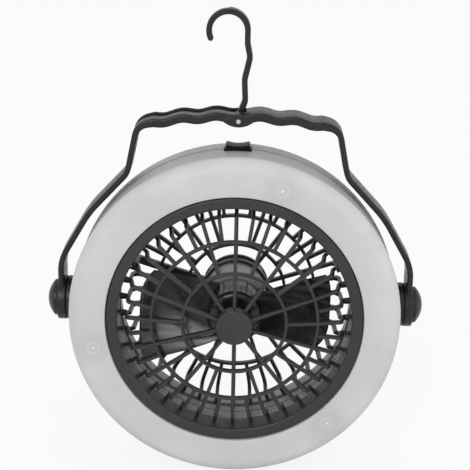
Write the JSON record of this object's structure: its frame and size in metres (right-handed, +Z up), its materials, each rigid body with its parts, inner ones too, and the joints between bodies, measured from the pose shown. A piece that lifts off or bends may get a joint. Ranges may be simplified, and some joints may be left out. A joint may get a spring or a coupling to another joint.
{
  "type": "portable camping fan",
  "caption": "Round camping fan with a frosted lantern ring, domed black grille, two-blade rotor, swinging grip handle and fold-away hook.",
  "frame": {"origin": "centre of the hook's throat, where the fan hangs, midway through the tip's depth", "axes": "+X right and +Z up as seen from the front, +Y from the front grille to the back"},
  "size_m": [0.2157, 0.0727, 0.263],
  "materials": {
    "shell_plastic": "moulded, slightly satin mid grey",
    "frosted_lens": "frosted translucent pale grey",
    "grille_plastic": "satin black moulding",
    "rotor_plastic": "glossy black",
    "handle_plastic": "glossy black moulding",
    "rocker_plastic": "polished black",
    "dark_nylon": "matte dark nylon",
    "board": "white solder-masked board",
    "lamp": "clear cast lamp with a pale yellow chip",
    "plated_steel": "nickel-plated steel",
    "motor_steel": "drawn, zinc-plated steel can",
    "magnet": "sintered ferrite",
    "bronze": "sintered bronze",
    "winding_copper": "enamelled copper on steel laminations",
    "lead_rubber": "flat twin lead",
    "cell_jacket": "plain dark sleeve, steel ends"
  },
  "bodies": {
    "housing": {"front_shell": "shell_plastic", "rear_shell": "shell_plastic", "lens_ring": "frosted_lens", "front_grille": "grille_plastic", "rear_grille": "grille_plastic", "light_board": "board", "lamps": "lamp", "lens_screws": "plated_steel", "case_screws": "plated_steel", "motor_can": "motor_steel", "motor_end_cap": "dark_nylon", "motor_magnets": "magnet", "motor_bushes": "bronze", "motor_screws": "plated_steel", "motor_leads": "lead_rubber", "switch_body": "dark_nylon", "switch_terminals": "bronze", "battery_tray": "dark_nylon", "battery_cells": "cell_jacket", "battery_plates": "plated_steel", "battery_springs": "plated_steel", "pivot_base_left": "handle_plastic", "pivot_base_right": "handle_plastic", "friction_washers": "plated_steel", "pivot_screws": "plated_steel", "pivot_nuts": "plated_steel", "pivot_cap_left": "handle_plastic", "pivot_cap_right": "handle_plastic"},
    "rotor": {"fan_rotor": "rotor_plastic", "motor_shaft": "plated_steel", "armature": "winding_copper"},
    "rocker": {"switch_rocker": "rocker_plastic"},
    "door": {"battery_door": "shell_plastic"},
    "handle": {"handle": "handle_plastic", "hook_pin": "plated_steel"},
    "hook": {"hook": "handle_plastic"}
  },
  "joints": [
    {"name": "fan_spin", "type": "hinge", "parent": "housing", "child": "rotor", "pos_m": [0.00645, -0.0155, -0.1576], "axis": [0, 1, 0], "continuous": true},
    {"name": "rocker_tilt", "type": "hinge", "parent": "housing", "child": "rocker", "pos_m": [0.00645, -0.005, -0.0702], "axis": [0, 1, 0], "range_deg": [-7, 7]},
    {"name": "door_lift", "type": "slide", "parent": "housing", "child": "door", "axis": [0, 1, 0], "range_m": [0, 0.03]},
    {"name": "handle_swing", "type": "hinge", "parent": "housing", "child": "handle", "pos_m": [0.00645, -0.0025, -0.1561], "axis": [1, 0, 0], "range_deg": [-180, 90]},
    {"name": "hook_fold", "type": "hinge", "parent": "handle", "child": "hook", "pos_m": [0.00645, 0.0015, -0.0481], "axis": [0, -1, 0], "range_deg": [0, 90]}
  ]
}
